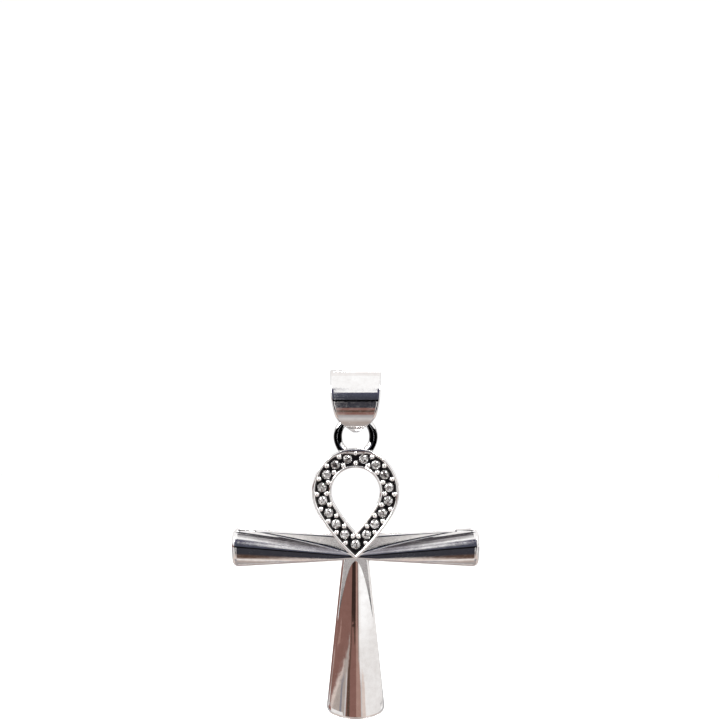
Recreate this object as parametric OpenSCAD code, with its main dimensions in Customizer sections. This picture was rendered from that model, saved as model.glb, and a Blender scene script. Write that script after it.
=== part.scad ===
// Ankh pendant: a flared cross under a stone-set teardrop loop, hung by its soldered eyelet in a tapered strip bail.
// Millimetres. +Z is up, the front faces -Y, and the origin is the bail's inner top, where a chain bears.

/* [Bail] */
// Width of the bail over its top
bail_w = 7.4; // [6.4:0.1:9]
// Width of the bail where its lower round begins
bail_shoulder_w = 6.4; // [5.6:0.1:7.2]
// Radius of the two rounds that narrow the bail's front and back towards its bend
bail_round_r = 2.85; // [2.4:0.05:3.1]
// Height of the start of those rounds above the hinge line
bail_shoulder_h = 1.9; // [1.6:0.05:2.4]
// Width of the bend that passes through the eyelet
bend_w = 3; // [2:0.1:3.2]
// Thickness of the bail's strip
bail_t = 0.7; // [0.5:0.05:0.9]
// Radius of the bail's inner top, which the chain bears on
bail_top_r = 1.4; // [1.2:0.05:1.8]
// Radius of the long curve down the inside of the bail's front and back
bail_side_r = 4.3; // [4.1:0.05:5.5]
// Clear height inside the bail
bail_inner_h = 7.75; // [7:0.05:9]

/* [Eyelet] */
// Radius of the eyelet at the middle of its bar
eyelet_r = 2.7; // [2.4:0.05:3.2]
// Diameter of the eyelet's bar
eyelet_bar_d = 1.1; // [0.8:0.05:1.2]
// Depth that the eyelet's lowest point sinks into the loop, at the middle of its bar
eyelet_sink = 1; // [0.7:0.05:1.3]
// Radius of the two solder feet beside the eyelet
solder_r = 0.65; // [0.4:0.05:0.8]
// Room between the eyelet's bar and the inside of the bail's bend
swing_gap = 0.4; // [0.36:0.02:0.5]

/* [Loop] */
// Outer radius of the loop's round top
loop_r = 6.4; // [5.8:0.05:7.2]
// Distance from the centre of that round down to the loop's outer tip
loop_drop = 9.9; // [9.2:0.05:11]
// Angle below level at which the loop's sides leave the round
side_angle = 31; // [26:1:34]
// Width of the loop's band
loop_band = 2.85; // [2.6:0.05:3.1]
// Thickness of the loop from back to front
loop_t = 1.7; // [1.5:0.05:2.2]
// Width of the raised outer rim
outer_rim = 0.42; // [0.3:0.02:0.55]
// Width of the raised inner rim
inner_rim = 0.38; // [0.3:0.02:0.5]
// Depth of the channel between the rims
channel_depth = 0.5; // [0.3:0.05:0.7]

/* [Stones] */
// Stones down each side of the loop, with one more at its tip
side_stones = 8; // [6:1:8]
// Radius of a stone at its girdle
stone_r = 0.69; // [0.5:0.01:0.74]
// Table's width as a share of the stone's
table_share = 0.56; // [0.5:0.01:0.64]
// Height of the crown
crown_h = 0.24; // [0.15:0.01:0.3]
// Thickness of the girdle
girdle_h = 0.04; // [0.02:0.01:0.06]
// Depth of the pavilion
pavilion_h = 0.56; // [0.45:0.01:0.62]
// Drop of a stone's table below the front of the rims
table_drop = 0.02; // [0:0.01:0.1]
// Clearance round a stone in its seat
seat_gap = 0.04; // [0.03:0.01:0.06]
// Distance along the band from the loop's top to the first stone
first_stone = 1.2; // [1:0.05:1.4]
// Distance along the band from the tip stone to the end of the band's middle line
tip_stone_gap = 0.35; // [0.1:0.05:0.6]
// Radius of a prong grain
grain_r = 0.3; // [0.2:0.01:0.34]

/* [Arms] */
// Distance from the middle of the cross to the end of an arm
arm_len = 18.15; // [15:0.05:21]
// Height of the crossbar at the middle of the cross
arm_root_w = 3.7; // [3:0.05:4.4]
// Height of an arm at its end, if its corners were square
arm_tip_w = 5.65; // [4.6:0.05:6.4]
// Rise of an arm's flare above the flat front, in degrees
arm_rise = 5.5; // [3:0.5:7]
// Distance behind an arm's flare at which its sides would meet; more of it makes the flare's foot rounder
arm_back = 20; // [5:1:40]
// Distance of the arms' flares' feet above the crossbar's lower edge
flare_foot = 0.35; // [0.2:0.05:0.6]

/* [Stem] */
// Length of the stem below the crossbar
stem_len = 23.2; // [19:0.1:27]
// Width of the stem at the crossbar
stem_root_w = 4; // [3.4:0.05:4.6]
// Width of the stem at its end, if its corners were square
stem_tip_w = 8.9; // [7.4:0.05:10]
// Rise of the stem's flare above the flat front, in degrees
stem_rise = 4.5; // [3:0.5:6]
// Distance behind the stem's flare at which its sides would meet; more of it makes the flare's foot rounder
stem_back = 40; // [5:1:60]

/* [Plate] */
// Thickness of the flat cross under the flares
plate_t = 0.9; // [0.8:0.05:1.4]
// Width of the bevel along the flat cross
bevel = 0.35; // [0.2:0.05:0.5]
// Radius of the arms' corners
arm_corner_r = 0.85; // [0.5:0.05:1.2]
// Radius of the arms' slightly bowed ends
arm_end_r = 16; // [10:1:30]
// Radius of the stem's corners
stem_corner_r = 1.3; // [0.8:0.05:1.6]
// Radius of the stem's bowed end
stem_end_r = 9.5; // [8:0.5:20]
// Depth that the loop's tip stands in from the crossbar's lower edge
tip_inset = 0.15; // [0.05:0.05:0.4]

/* [Hidden] */
$fn = 64;
silver = "silver";
clear_stone = "lightgray";
stone_count = 2 * side_stones + 1;
// Facets round a stone's table
facets = 8;
// Radius of the ring of points between table and girdle, as a share of the stone's radius
star_share = 0.8;
// Height of that ring, as a share of the crown
star_height = 0.55;
// Radius and depth of the ring of points on the pavilion, as shares of the stone's radius and the pavilion
lower_share = 0.42;
lower_depth = 0.6;
// Steps in each round of a drawn outline
arc_steps = 16;
// Length by which cutting solids run past what they cut
past = 1;
// Distance from a bar's root to the foot of its flare
foot_gap = 0.15;

bend_r = eyelet_bar_d / 2 + swing_gap;
hinge_z = bend_r - bail_inner_h;
eyelet_z = hinge_z - sqrt(pow(eyelet_r, 2) - pow(bend_w / 2, 2));
loop_z = eyelet_z - eyelet_r + eyelet_sink - loop_r;
loop_tip_z = loop_z - loop_drop;
cross_low_z = loop_tip_z - tip_inset;
arm_z = cross_low_z + arm_root_w / 2;

back_y = loop_t / 2;
rim_y = back_y - loop_t;
floor_y = rim_y + channel_depth;
plate_y = back_y - plate_t;
girdle_y = rim_y + table_drop + crown_h;

// The loop's sides are wide arcs that run on smoothly from its round top
side_reach = (pow(loop_drop, 2) - pow(loop_r, 2)) / (2 * (loop_r - loop_drop * sin(side_angle)));
side_r = side_reach + loop_r;
side_x = side_reach * cos(side_angle);
side_z = side_reach * sin(side_angle);

// The stones' middle line runs half a band inside the loop's outline
mid_r = loop_r - loop_band / 2;
mid_side_r = side_r - loop_band / 2;
top_arc = 90 + side_angle;
top_run = mid_r * top_arc * PI / 180;
tip_angle = acos(side_x / mid_side_r);
side_arc = tip_angle - side_angle;
side_run = mid_side_r * side_arc * PI / 180;
pitch = (top_run + side_run - tip_stone_gap - first_stone) / side_stones;

function stone_name(i) = str("stone_", i < 10 ? "0" : "", i);

// Place on the stones' line at a run from the loop's top, down the right side, as [x, z, angle of the line]
function on_arc(cx, cz, r, a) = [cx + r * cos(a), cz + r * sin(a), a];
function on_line(run) = run <= top_run
    ? on_arc(0, 0, mid_r, 90 - run / mid_r * 180 / PI)
    : on_arc(-side_x, side_z, mid_side_r, -side_angle - (run - top_run) / mid_side_r * 180 / PI);

// Stones are numbered from the top down the left side, round the tip and up the right side
function stone_run(i) = first_stone + pitch * (i <= side_stones ? i - 1 : stone_count - i);
function stone_side(i) = i <= side_stones ? -1 : 1;
function tip_run() = top_run + side_run - tip_stone_gap;
function stone_place(i) = let (tip = i == side_stones + 1, p = on_line(tip ? tip_run() : stone_run(i)))
    [tip ? 0 : stone_side(i) * p[0], p[1] + loop_z];

// Draws an outline given in x and z as a solid between two depths, the front one first
module slab(front_y, rear_y) {
    translate([0, rear_y, 0]) rotate([90, 0, 0]) linear_extrude(rear_y - front_y) children();
}

// The loop's outline drawn in by a width
module teardrop(inset) {
    chord_z = -(loop_r - inset) * sin(side_angle);
    reach = loop_r + loop_drop;
    intersection() {
        circle(loop_r - inset);
        translate([-reach, chord_z]) square([2 * reach, 2 * reach]);
    }
    intersection() {
        translate([side_x, side_z]) circle(side_r - inset, $fn = 4 * $fn);
        translate([-side_x, side_z]) circle(side_r - inset, $fn = 4 * $fn);
        translate([-reach, chord_z]) mirror([0, 1]) square([2 * reach, 2 * reach]);
    }
}

// Points of an arc between two angles, without the last
function arc(cx, cy, r, from, to) = [for (k = [0:arc_steps - 1]) let (a = from + (to - from) * k / arc_steps)
    [cx + r * cos(a), cy + r * sin(a)]];

// A flared bar along +X with round corners and a bowed end
module flare_outline(len, root_w, tip_w, corner_r, end_r) {
    lean = atan((tip_w - root_w) / 2 / len);
    // The corner's centre lies on a line inside the edge, and touches the bowed end from inside
    slope = tan(lean);
    start = root_w / 2 - corner_r / cos(lean);
    end_x = len - end_r;
    half = slope * start - end_x;
    rest = pow(end_x, 2) + pow(start, 2) - pow(end_r - corner_r, 2);
    cx = (-half + sqrt(pow(half, 2) - (1 + pow(slope, 2)) * rest)) / (1 + pow(slope, 2));
    cy = start + slope * cx;
    bow = atan2(cy, cx - end_x);
    polygon(concat(
        [[0, -root_w / 2]],
        arc(cx, -cy, corner_r, -90 - lean, -bow),
        arc(end_x, 0, end_r, -bow, bow),
        arc(cx, cy, corner_r, bow, 90 + lean),
        [[cx - corner_r * sin(lean), cy + corner_r * cos(lean)], [0, root_w / 2]]));
}

// A bar's flat plate with its two long edges bevelled, in x along it, y across it and z to the front
module bevelled_plate(len, root_w, tip_w, corner_r, end_r) {
    lean = atan((tip_w - root_w) / 2 / len);
    difference() {
        linear_extrude(plate_t) flare_outline(len, root_w, tip_w, corner_r, end_r);
        for (s = [-1, 1])
            translate([0, s * root_w / 2, plate_t - bevel]) rotate([0, 0, s * lean]) rotate([s * 45, 0, 0])
                translate([-past, s > 0 ? 0 : -past, 0]) cube([len + 3 * past, past, 2 * past]);
    }
}

// The raised cone of a flare, widening along +X. Its foot is round and lies at the origin on the plate's front. Its
// ridge rises from there, and its sides reach the plate again at a distance, a turn to either side of the ridge
module flare_cone(touch, turn, rise, back) {
    side = [touch + back, touch * tan(turn), back * tan(rise)];
    lie = atan((cos(rise) - side[0] / norm(side)) / (sin(rise) - side[2] / norm(side)));
    widen = tan(lie + rise);
    start = back / cos(rise) * cos(lie + rise) - 2 * past;
    reach = 1.2 * (touch + back);
    translate([-back, 0, -back * tan(rise)]) rotate([0, lie, 0]) translate([start, 0, 0]) rotate([0, 90, 0])
        cylinder(h = reach - start, r1 = start * widen, r2 = reach * widen, $fn = 3 * $fn);
}

// One arm along +X, with its flare's foot low on one side: below for 1, above for -1
module arm(side) {
    low = flare_foot - arm_root_w / 2;
    touch = arm_len - arm_corner_r - foot_gap;
    top_turn = atan((arm_tip_w / 2 - low) / touch);
    low_turn = atan((-arm_tip_w / 2 - low) / touch);
    bevelled_plate(arm_len, arm_root_w, arm_tip_w, arm_corner_r, arm_end_r);
    intersection() {
        linear_extrude(3 * plate_t + arm_len * tan(arm_rise))
            flare_outline(arm_len, arm_root_w, arm_tip_w, arm_corner_r, arm_end_r);
        translate([foot_gap, side * low, plate_t]) rotate([0, 0, side * (top_turn + low_turn) / 2])
            flare_cone(touch, (top_turn - low_turn) / 2, arm_rise, arm_back);
    }
}

// The stem, along +X as an arm is
module stem_bar() {
    touch = stem_len - stem_corner_r - foot_gap;
    bevelled_plate(stem_len, stem_root_w, stem_tip_w, stem_corner_r, stem_end_r);
    intersection() {
        linear_extrude(3 * plate_t + stem_len * tan(stem_rise))
            flare_outline(stem_len, stem_root_w, stem_tip_w, stem_corner_r, stem_end_r);
        translate([foot_gap, 0, plate_t]) flare_cone(touch, atan(stem_tip_w / 2 / touch), stem_rise, stem_back);
    }
}

module cross() {
    for (s = [1, -1])
        translate([0, back_y, arm_z]) rotate([90, 0, 0]) rotate([0, 0, 90 - s * 90]) arm(s);
    // The stem starts a little above the crossbar's lower edge, so that the two are one piece
    translate([0, back_y, cross_low_z]) rotate([90, 0, 0]) rotate([0, 0, -90]) stem_bar();
    slab(plate_y, back_y) translate([-stem_root_w / 2, cross_low_z - bevel])
        square([stem_root_w, flare_foot + bevel]);
}

// The band of the loop, with a channel between its two rims
module loop_band_solid() {
    translate([0, 0, loop_z]) difference() {
        slab(rim_y, back_y) teardrop(0);
        slab(rim_y - past, floor_y) difference() {
            teardrop(outer_rim);
            teardrop(loop_band - inner_rim);
        }
    }
}

// A stone's seat: round at the girdle, and a cone under it
module seat() {
    r = stone_r + seat_gap;
    depth = pavilion_h * r / stone_r;
    rotate([90, 0, 0]) {
        cylinder(h = crown_h + table_drop + past, r = r);
        translate([0, 0, -girdle_h - seat_gap]) cylinder(h = girdle_h + 2 * seat_gap, r = r);
        translate([0, 0, -girdle_h - seat_gap - depth]) cylinder(h = depth, r1 = 0, r2 = r);
    }
}

// Prong grains beside the band's middle line, halfway between two stones, each sunk a little into the floor
module grains(run, side) {
    p = on_line(run);
    reach = loop_band / 2 - max(outer_rim, inner_rim) - grain_r / 3;
    for (d = [-1, 1])
        translate([side * (p[0] + d * reach * cos(p[2])), floor_y - grain_r / 4,
            p[1] + d * reach * sin(p[2]) + loop_z])
            rotate([90, 0, 0]) sphere(grain_r, $fn = 24);
}

module eyelet() {
    translate([0, 0, eyelet_z]) rotate([90, 0, 0])
        rotate_extrude() translate([eyelet_r, 0]) circle(eyelet_bar_d / 2);
    // Solder feet where the ring's bar crosses the loop's outline
    gap = eyelet_z - loop_z;
    foot_h = (pow(gap, 2) + pow(loop_r, 2) - pow(eyelet_r, 2)) / (2 * gap);
    foot_x = sqrt(pow(loop_r, 2) - pow(foot_h, 2));
    for (s = [-1, 1]) translate([s * foot_x, 0, loop_z + foot_h]) sphere(solder_r);
}

module ankh() {
    color(silver) difference() {
        union() {
            difference() {
                union() {
                    cross();
                    loop_band_solid();
                    eyelet();
                }
                slab(rim_y - past, back_y + past) translate([0, loop_z]) teardrop(loop_band);
            }
            for (s = [-1, 1], k = [0:side_stones - 1]) grains(first_stone + pitch * (k + 0.5), s);
            grains(0, 1);
        }
        for (i = [1:stone_count]) translate([stone_place(i)[0], girdle_y, stone_place(i)[1]]) seat();
    }
}

// The bail's side outline, as its inside grown by a width, in y and z: a top round, a bend, and a long curve on
// each side that runs on smoothly from both
module bail_side(grow) {
    top_z = -bail_top_r;
    span = top_z - hinge_z;
    mid_z = (top_z + hinge_z) / 2
        + (bail_top_r - bend_r) * (2 * bail_side_r - bend_r - bail_top_r) / (2 * span);
    side_y = sqrt(pow(bail_side_r - bail_top_r, 2) - pow(top_z - mid_z, 2));
    up = atan2(top_z - mid_z, side_y);
    down = atan2(mid_z - hinge_z, side_y);
    polygon(concat(
        arc(-side_y, mid_z, bail_side_r + grow, -down, up),
        arc(0, top_z, bail_top_r + grow, up, 180 - up),
        arc(side_y, mid_z, bail_side_r + grow, 180 - up, 180 + down),
        arc(0, hinge_z, bend_r + grow, 180 + down, 360 - down)));
}

// The bail's front outline, in x and z: it narrows to the shoulder, rounds in, and goes straight down to the bend
module bail_front() {
    shoulder_z = hinge_z + bail_shoulder_h;
    round_x = bail_shoulder_w / 2 - bail_round_r;
    turn = acos((bend_w / 2 - round_x) / bail_round_r);
    side = concat(
        [[bail_w / 2, bail_t]],
        arc(round_x, shoulder_z, bail_round_r, 0, -turn),
        [[bend_w / 2, shoulder_z - bail_round_r * sin(turn)], [bend_w / 2, -bail_inner_h - bail_t]]);
    polygon(concat(side, [for (k = [len(side) - 1:-1:0]) [-side[k][0], side[k][1]]]));
}

module bail() {
    reach = bail_side_r + bail_t + past;
    color(silver) intersection() {
        rotate([90, 0, 90]) translate([0, 0, -bail_w]) linear_extrude(2 * bail_w) difference() {
            bail_side(bail_t);
            bail_side(0);
        }
        slab(-reach, reach) bail_front();
    }
}

// Points of a stone, from the table back to the culet: table, star ring, girdle's two rings, lower ring, culet
function ring(count, r, h, turn) = [for (k = [0:count - 1])
    let (a = 360 * (k + turn) / count) [r * cos(a), r * sin(a), h]];
function stone_points() = concat(
    ring(facets, stone_r * table_share, crown_h, 0),
    ring(facets, stone_r * star_share, crown_h * star_height, 0.5),
    ring(2 * facets, stone_r, 0, 0),
    ring(2 * facets, stone_r, -girdle_h, 0),
    ring(facets, stone_r * lower_share, -girdle_h - pavilion_h * lower_depth, 0.5),
    [[0, 0, -girdle_h - pavilion_h]]);

// A round brilliant with its girdle's front edge at the origin's depth, table towards +Z
module brilliant() {
    n = facets;
    star = n;
    girdle = 2 * n;
    under = 4 * n;
    lower = 6 * n;
    culet = 7 * n;
    polyhedron(points = stone_points(), faces = concat(
        [[for (k = [n - 1:-1:0]) k]],
        [for (k = [0:n - 1]) [k, (k + 1) % n, star + k]],
        [for (k = [0:n - 1]) [k, star + k, girdle + 2 * k]],
        [for (k = [0:n - 1]) [(k + 1) % n, girdle + (2 * k + 2) % (2 * n), star + k]],
        [for (k = [0:n - 1]) [star + k, girdle + 2 * k + 1, girdle + 2 * k]],
        [for (k = [0:n - 1]) [star + k, girdle + (2 * k + 2) % (2 * n), girdle + 2 * k + 1]],
        [for (k = [0:2 * n - 1]) [girdle + k, girdle + (k + 1) % (2 * n), under + (k + 1) % (2 * n), under + k]],
        [for (k = [0:n - 1]) [under + 2 * k, under + 2 * k + 1, lower + k]],
        [for (k = [0:n - 1]) [under + 2 * k + 1, under + (2 * k + 2) % (2 * n), lower + k]],
        [for (k = [0:n - 1]) [under + 2 * k, lower + k, lower + (k + n - 1) % n]],
        [for (k = [0:n - 1]) [lower + k, culet, lower + (k + n - 1) % n]]));
}

module stone(i) {
    p = stone_place(i);
    color(clear_stone) translate([p[0], girdle_y, p[1]]) rotate([90, 0, 0]) brilliant();
}

ankh();
bail();
for (i = [1:stone_count])
    stone(i);
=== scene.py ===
"""Ankh pendant in polished silver: a flared cross, a stone-set loop, a soldered eyelet and a strip bail."""
from __future__ import annotations

import logging
import math
from dataclasses import dataclass, field, replace
from enum import Enum
from typing import Sequence

import bmesh
import bpy
import numpy as np
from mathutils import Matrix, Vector


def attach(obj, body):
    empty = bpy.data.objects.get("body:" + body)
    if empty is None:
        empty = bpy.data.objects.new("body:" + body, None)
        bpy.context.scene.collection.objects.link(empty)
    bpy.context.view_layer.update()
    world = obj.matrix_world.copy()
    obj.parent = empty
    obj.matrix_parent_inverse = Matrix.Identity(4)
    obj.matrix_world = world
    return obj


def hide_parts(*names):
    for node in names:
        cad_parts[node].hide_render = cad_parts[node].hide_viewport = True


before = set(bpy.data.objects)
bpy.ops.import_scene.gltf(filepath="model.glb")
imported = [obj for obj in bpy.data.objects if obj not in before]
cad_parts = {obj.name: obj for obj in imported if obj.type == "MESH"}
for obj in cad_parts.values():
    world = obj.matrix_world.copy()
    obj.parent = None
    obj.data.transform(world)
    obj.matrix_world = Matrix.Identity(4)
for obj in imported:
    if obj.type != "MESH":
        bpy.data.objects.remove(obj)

LOG = logging.getLogger("ankh_pendant")
MM = 0.001
Colour = tuple[float, float, float]


class Body(Enum):
    """The two moving bodies of the pendant."""

    BAIL = "bail"
    ANKH = "ankh"


class Slot(Enum):
    """The record's material slots, one given with each new piece."""

    CAST = "cast_silver"
    STRIP = "strip_silver"


# Meshes


class Shell:
    """Vertices and faces in millimetres that become one closed mesh object."""

    MERGE = 2e-7
    EMPTY = 1e-7

    def __init__(self) -> None:
        """Starts empty."""
        self.points: list[np.ndarray] = []
        self.faces: list[tuple[int, ...]] = []
        self.values: dict[str, list[np.ndarray]] = {"recess": [], "satin": []}
        self.count = 0

    def add(self, points: np.ndarray, **values: np.ndarray) -> np.ndarray:
        """Adds points and returns their numbers in the shape of the array.

        Args:
            points: array whose last axis is x, y, z.
            values: recess, how deep in a recess each point lies, which the finish turns into painted shade,
                and satin, how dull it is, both 0 to 1.

        Returns:
            The vertex numbers, shaped as points without its last axis.
        """
        flat = points.reshape(-1, 3)
        self.points.append(flat)
        for key, parts in self.values.items():
            parts.append(np.broadcast_to(values.get(key, 0.0), points.shape[:-1]).reshape(-1))
        numbers = np.arange(self.count, self.count + len(flat)).reshape(points.shape[:-1])
        self.count += len(flat)
        return numbers

    def quads(self, rows: np.ndarray, wrap_rows: bool = False, wrap_columns: bool = False) -> None:
        """Joins a grid of vertex numbers with four-sided faces.

        Args:
            rows: two-dimensional array of vertex numbers.
            wrap_rows: whether the last row joins the first.
            wrap_columns: whether the last column joins the first.
        """
        nr, nc = rows.shape
        for i in range(nr if wrap_rows else nr - 1):
            for j in range(nc if wrap_columns else nc - 1):
                i2, j2 = (i + 1) % nr, (j + 1) % nc
                self.faces.append((int(rows[i, j]), int(rows[i2, j]), int(rows[i2, j2]), int(rows[i, j2])))

    def finish(self, name: str, material: bpy.types.Material, sharp: float = 50.0) -> bpy.types.Object:
        """Makes the object: merges shared points, drops empty faces and turns every face outwards.

        Args:
            name: the piece's name.
            material: its finish.
            sharp: angle in degrees above which an edge is shown sharp.

        Returns:
            The finished object, at the origin and linked to the scene.
        """
        mesh = bpy.data.meshes.new(name)
        mesh.from_pydata((np.concatenate(self.points) * MM).tolist(), [], self.faces)
        for key, parts in self.values.items():
            attribute = mesh.attributes.new(key, "FLOAT", "POINT")
            attribute.data.foreach_set("value", np.concatenate(parts).astype(np.float32))
        bm = bmesh.new()
        bm.from_mesh(mesh)
        bmesh.ops.remove_doubles(bm, verts=bm.verts, dist=self.MERGE)
        bmesh.ops.dissolve_degenerate(bm, edges=bm.edges, dist=self.EMPTY)
        bmesh.ops.recalc_face_normals(bm, faces=bm.faces)
        if bm.calc_volume(signed=True) < 0:
            bmesh.ops.reverse_faces(bm, faces=bm.faces)
        for face in bm.faces:
            face.smooth = True
        limit = math.radians(sharp)
        for edge in bm.edges:
            edge.smooth = len(edge.link_faces) == 2 and edge.calc_face_angle(0) < limit
        open_edges = sum(len(e.link_faces) != 2 for e in bm.edges)
        bm.to_mesh(mesh)
        bm.free()
        mesh.materials.append(material)
        obj = bpy.data.objects.new(name, mesh)
        bpy.context.scene.collection.objects.link(obj)
        LOG.info("%s: %d faces, %d open edges", name, len(mesh.polygons), open_edges)
        return obj


def place(obj: bpy.types.Object, body: Body, slot: Slot, node: str) -> None:
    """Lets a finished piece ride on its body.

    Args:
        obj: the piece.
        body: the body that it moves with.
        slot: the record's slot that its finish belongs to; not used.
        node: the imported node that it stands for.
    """
    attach(obj, body.value)
    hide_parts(node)


def arc_points(cx: float, cy: float, r: float, start: float, end: float, steps: int) -> np.ndarray:
    """Points of an arc, both ends included.

    Args:
        cx: centre, first coordinate.
        cy: centre, second coordinate.
        r: radius.
        start: first angle in degrees.
        end: last angle in degrees.
        steps: number of steps.

    Returns:
        Array of steps + 1 points.
    """
    a = np.radians(np.linspace(start, end, steps + 1))
    return np.stack([cx + r * np.cos(a), cy + r * np.sin(a)], axis=1)


# Finishes


class Nodes:
    """A short way to build a material's node tree."""

    def __init__(self, name: str) -> None:
        """Makes the material with an empty tree."""
        self.material = bpy.data.materials.new(name)
        self.material.use_nodes = True
        self.tree = self.material.node_tree
        self.tree.nodes.clear()

    def node(self, kind: str, **settings: object) -> bpy.types.Node:
        """Adds a node.

        Args:
            kind: its type.
            settings: its properties.

        Returns:
            The node.
        """
        node = self.tree.nodes.new(kind)
        for key, value in settings.items():
            setattr(node, key, value)
        return node

    def link(self, source: bpy.types.NodeSocket, target: bpy.types.NodeSocket) -> None:
        """Links two sockets."""
        self.tree.links.new(source, target)

    def coordinates(self, scale: tuple[float, float, float] = (1, 1, 1)) -> bpy.types.NodeSocket:
        """Object coordinates through a Mapping node.

        Args:
            scale: how often the pattern repeats along each axis.

        Returns:
            The coordinates.
        """
        source = self.node("ShaderNodeTexCoord")
        mapping = self.node("ShaderNodeMapping")
        mapping.inputs["Scale"].default_value = scale
        self.link(source.outputs["Object"], mapping.inputs["Vector"])
        return mapping.outputs["Vector"]

    def noise(self, vector: bpy.types.NodeSocket, scale: float, detail: float = 2.0, rough: float = 0.5,
              distortion: float = 0.0) -> bpy.types.NodeSocket:
        """A noise texture.

        Args:
            vector: its coordinates.
            scale: its spots to the metre.
            detail: its octaves.
            rough: how strong the finer octaves are.
            distortion: how far it is warped.

        Returns:
            Its factor.
        """
        node = self.node("ShaderNodeTexNoise")
        node.inputs["Scale"].default_value = scale
        node.inputs["Detail"].default_value = detail
        node.inputs["Roughness"].default_value = rough
        node.inputs["Distortion"].default_value = distortion
        self.link(vector, node.inputs["Vector"])
        return node.outputs["Fac"]

    def ranged(self, value: bpy.types.NodeSocket, low: float, high: float, to_low: float,
               to_high: float) -> bpy.types.NodeSocket:
        """Maps a value from one range to another, clamped.

        Args:
            value: the value.
            low: start of its range.
            high: end of its range.
            to_low: start of the new range.
            to_high: end of the new range.

        Returns:
            The new value.
        """
        node = self.node("ShaderNodeMapRange")
        for key, number in (("From Min", low), ("From Max", high), ("To Min", to_low), ("To Max", to_high)):
            node.inputs[key].default_value = number
        self.link(value, node.inputs["Value"])
        return node.outputs["Result"]

    def mixed(self, factor: bpy.types.NodeSocket, first: bpy.types.NodeSocket | Colour,
              second: Colour) -> bpy.types.NodeSocket:
        """Mixes two colours.

        Args:
            factor: share of the second colour.
            first: a colour, or the socket that gives it.
            second: a colour.

        Returns:
            The mixed colour.
        """
        node = self.node("ShaderNodeMix", data_type="RGBA")
        if isinstance(first, tuple):
            node.inputs[6].default_value = (*first, 1)
        else:
            self.link(first, node.inputs[6])
        node.inputs[7].default_value = (*second, 1)
        self.link(factor, node.inputs[0])
        return node.outputs[2]

    def bump(self, height: bpy.types.NodeSocket, distance: float,
             under: bpy.types.NodeSocket | None = None) -> bpy.types.NodeSocket:
        """A bump at full strength.

        Args:
            height: its pattern.
            distance: its height in metres.
            under: the bump that it lies on.

        Returns:
            The bumped normal.
        """
        node = self.node("ShaderNodeBump")
        node.inputs["Distance"].default_value = distance
        self.link(height, node.inputs["Height"])
        if under is not None:
            self.link(under, node.inputs["Normal"])
        return node.outputs["Normal"]


@dataclass(frozen=True)
class PolishedSilver:
    """Polished silver with the slight waves, hairlines and dull spots that hand polishing leaves, and painted
    shade in recesses.
    """

    name: str
    bright: Colour = (0.955, 0.945, 0.94)
    dull: Colour = (0.86, 0.84, 0.83)
    # The dark tone serves both the random tarnish spots and the painted shade in recesses.
    tarnish_and_shade: Colour = (0.075, 0.065, 0.062)
    recess_painted_shade: float = 0.9
    pit_tarnish: float = 0.5
    rough_low: float = 0.02
    rough_high: float = 0.07
    cloud_scale: float = 900.0
    pit_scale: float = 5200.0
    rough_scale: float = 1500.0
    wave: float = 4e-6
    wave_scale: float = 420.0
    wave_stretch: tuple[float, float, float] = (1, 1, 1)
    hairline: float = 4e-7
    hairline_scale: float = 9000.0
    hairline_stretch: tuple[float, float, float] = (1, 1, 8)
    ripple: float = 1.2e-7
    ripple_scale: float = 2400.0
    satin_rough: float = 0.3

    def build(self) -> bpy.types.Material:
        """Builds the node tree.

        Returns:
            The material.
        """
        n = Nodes(self.name)
        out = n.node("ShaderNodeOutputMaterial")
        shader = n.node("ShaderNodeBsdfPrincipled")
        shader.inputs["Metallic"].default_value = 1.0
        n.link(shader.outputs["BSDF"], out.inputs["Surface"])
        plain = n.coordinates()
        recess = n.node("ShaderNodeAttribute", attribute_name="recess")
        satin = n.node("ShaderNodeAttribute", attribute_name="satin")
        clouds = n.ranged(n.noise(plain, self.cloud_scale, 4, 0.6), 0.35, 0.7, 0, 1)
        tone = n.mixed(clouds, self.bright, self.dull)
        # Painted shade: points in the recessed channel are mixed towards the dark tone.
        tone = n.mixed(n.ranged(recess.outputs["Fac"], 0, 1, 0, self.recess_painted_shade), tone, self.tarnish_and_shade)
        spots = n.ranged(n.noise(plain, self.pit_scale, 3, 0.55), 0.72, 0.80, 0, self.pit_tarnish)
        n.link(n.mixed(spots, tone, self.tarnish_and_shade), shader.inputs["Base Color"])
        rough = n.node("ShaderNodeMath", operation="ADD")
        cloudy = n.noise(plain, self.rough_scale, 5, 0.6)
        n.link(n.ranged(cloudy, 0.3, 0.75, self.rough_low, self.rough_high), rough.inputs[0])
        n.link(n.ranged(satin.outputs["Fac"], 0, 1, 0, self.satin_rough), rough.inputs[1])
        n.link(rough.outputs[0], shader.inputs["Roughness"])
        waves = n.bump(n.noise(n.coordinates(self.wave_stretch), self.wave_scale, 2, 0.5, 0.4), self.wave)
        waves = n.bump(n.noise(plain, self.ripple_scale, 3, 0.6), self.ripple, waves)
        lines = n.noise(n.coordinates(self.hairline_stretch), self.hairline_scale, 2, 0.5)
        n.link(n.bump(lines, self.hairline, waves), shader.inputs["Normal"])
        return n.material


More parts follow.
